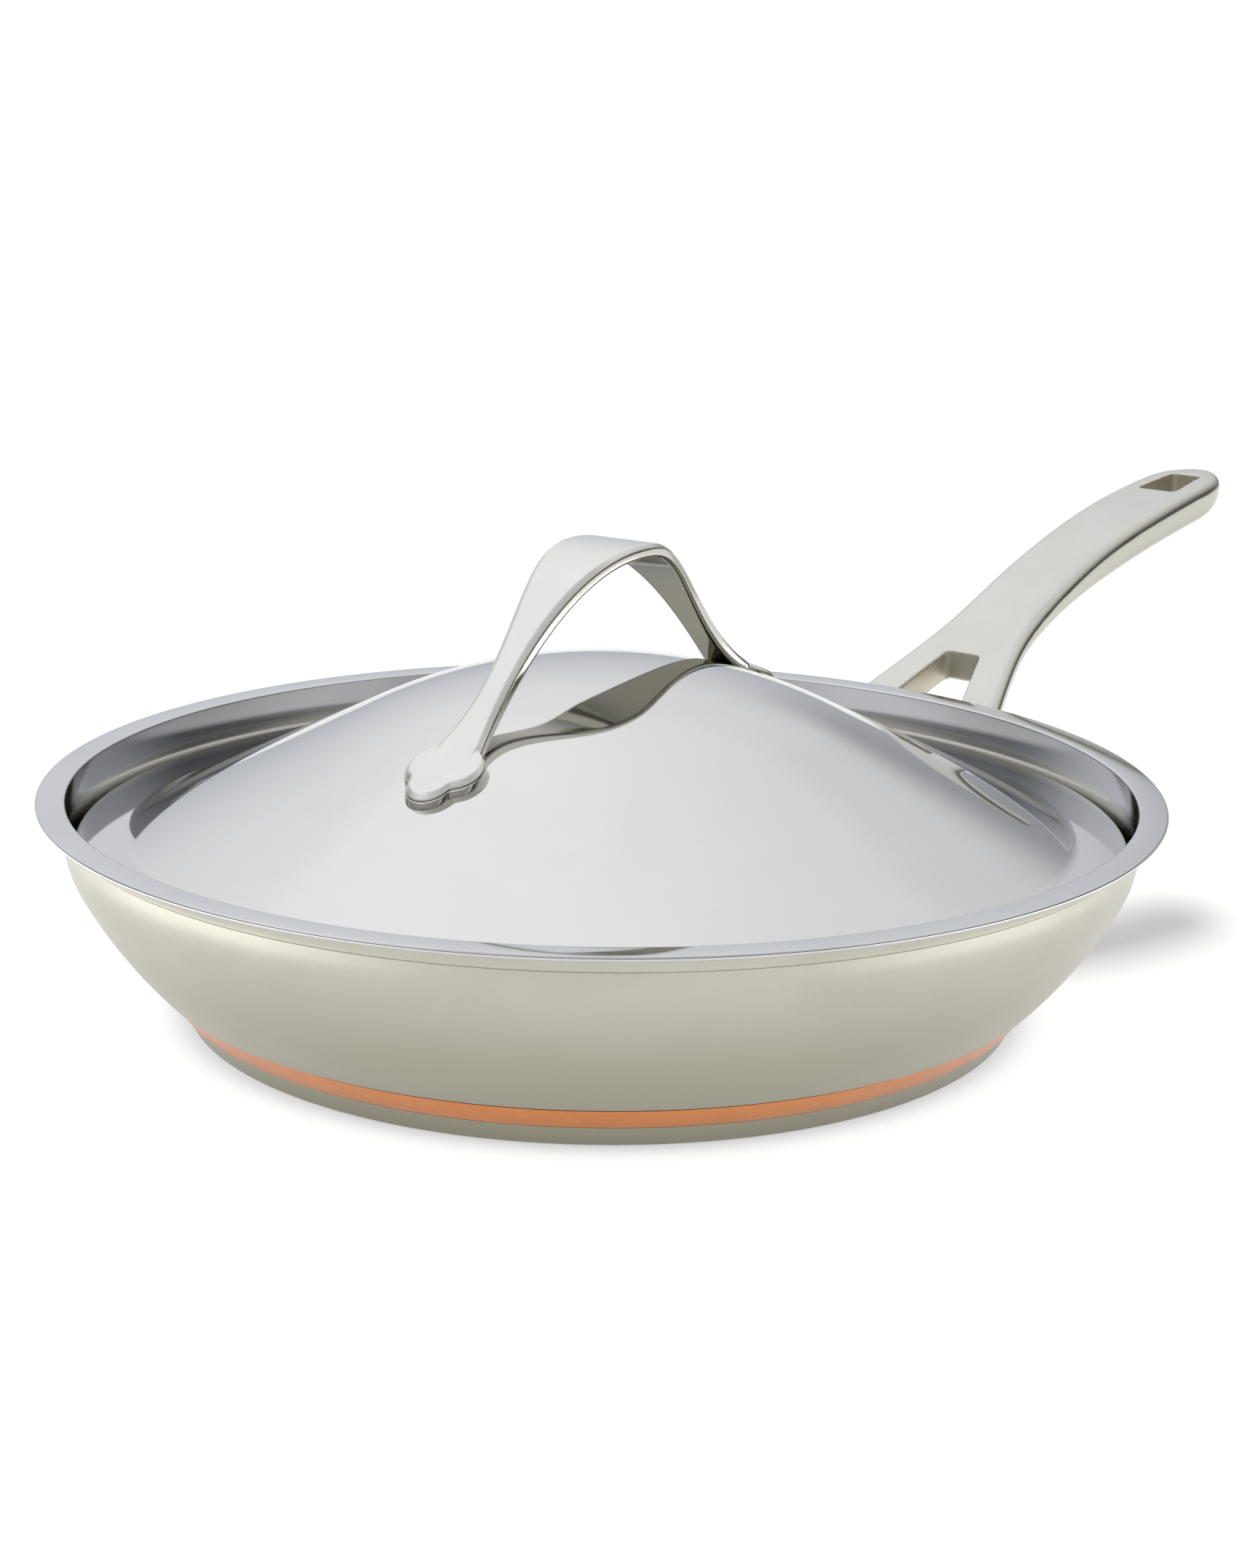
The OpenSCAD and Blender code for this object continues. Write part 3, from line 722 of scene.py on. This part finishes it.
def studio_sky():
    """White high up and behind the pan, darker low down at the sides and in front and
    high up in front; an even grey for the floor and white to the lens."""
    world = bpy.data.worlds.new("studio")
    bpy.context.scene.world = world
    world.use_nodes = True
    tree = world.node_tree
    tree.nodes.clear()
    look = add(tree, "ShaderNodeTexCoord").outputs["Generated"]
    height = add(tree, "ShaderNodeSeparateXYZ", None, Vector=look).outputs["Z"]

    def along(direction, low, high, from_low, from_high):
        """low to high as the look turns towards that direction."""
        share = add(tree, "ShaderNodeVectorMath", {"operation": "DOT_PRODUCT"}, i0=look,
                    i1=direction).outputs["Value"]
        return add(tree, "ShaderNodeMapRange", {"interpolation_type": "SMOOTHSTEP"}, Value=share,
                   From_Min=from_low, From_Max=from_high, To_Min=low, To_Max=high).outputs[0]
    behind, beside = (
        add(tree, "ShaderNodeValToRGB", None, stops, Fac=height).outputs["Color"]
        for stops in (((0.0, "#BCC0C6"), (0.25, "#DCDEE2"), (0.5, "#F4F4F4"), (0.85, "#FFFFFF")),
                      ((0.0, "#747477"), (0.22, "#77787B"), (0.42, "#B6B6B4"),
                       (0.7, "#FFFFFF"))))
    tone = add(tree, "ShaderNodeMix", {"data_type": "RGBA"},
               i0=along(toward(180, 0), 0.0, 1.0, 0.3, 0.85), i6=beside, i7=behind).outputs[2]
    low_down = add(tree, "ShaderNodeMapRange", {"interpolation_type": "SMOOTHSTEP"},
                   Value=height, From_Min=0.45, From_Max=0.2).outputs[0]
    low_right = add(tree, "ShaderNodeMix", None, i0=low_down, i2=1.0,
                    i3=along(toward(90, 0), 1.0, 0.6, 0.12, 0.36)).outputs[0]
    for dimmed in (along(toward(90, 0), 1.0, 0.8, -0.3, 0.7), low_right,
                   along(toward(0, 66), 1.0, 0.62, 0.72, 0.98)):
        tone = add(tree, "ShaderNodeVectorMath", {"operation": "SCALE"}, i0=tone,
                   Scale=dimmed).outputs[0]
    rays = add(tree, "ShaderNodeLightPath").outputs
    for kind, shade in (("Is Diffuse Ray", "#BEBEBE"), ("Is Camera Ray", "#FFFFFF")):
        tone = add(tree, "ShaderNodeMix", {"data_type": "RGBA"}, i0=rays[kind], i6=tone,
                   i7=paint(shade)).outputs[2]
    back = add(tree, "ShaderNodeBackground", None, Color=tone, Strength=1.15)
    out = add(tree, "ShaderNodeOutputWorld")
    tree.links.new(back.outputs[0], out.inputs["Surface"])


def lens():
    """A long lens, 819 mm from the middle of the rim and 14.8 degrees above it."""
    distance, focal = 819.21, 65.07646
    elevation, yaw, tilt, roll = 0.258043, 0.0086154, 0.00066832, 0.0128664
    pitch = elevation + tilt
    ahead = Vector((0, math.cos(pitch), -math.sin(pitch)))
    right = Vector((1, 0, 0))
    up = right.cross(ahead)
    ahead, right = (math.cos(yaw) * ahead + math.sin(yaw) * right,
                    math.cos(yaw) * right - math.sin(yaw) * ahead)
    right, up = (math.cos(roll) * right + math.sin(roll) * up,
                 math.cos(roll) * up - math.sin(roll) * right)
    data = bpy.data.cameras.new("lens")
    data.sensor_width, data.lens = 36.0, focal
    data.clip_start, data.clip_end = 0.05, 50
    camera = mesh_object("lens", data)
    place = Vector((0, -distance * math.cos(elevation), distance * math.sin(elevation) + RIM_Z))
    turn = Matrix((right, up, -ahead)).transposed().to_4x4()
    turn.translation = place * MM
    camera.matrix_world = Matrix.Rotation(VIEW_TURN, 4, "Z") @ turn
    bpy.context.scene.camera = camera


floor()
studio_sky()
floor_light(bpy.data.objects["pan_cast_handle"])
for piece in bpy.context.scene.objects:
    if piece.type == "MESH" and piece.name != "base_steel_cap":
        piece.visible_diffuse = False    # only the foot of the pan dulls the floor
floor_panel("left_panel", -76, 0.42, 0.58, 0.2, 1.1)
floor_panel("right_panel", 72, 0.46, 0.5, 0.18, 1.1)
lens()
bpy.context.scene.view_settings.view_transform = "Standard"
bpy.context.scene.cycles.caustics_reflective = False
bpy.context.scene.cycles.glossy_bounces = 10
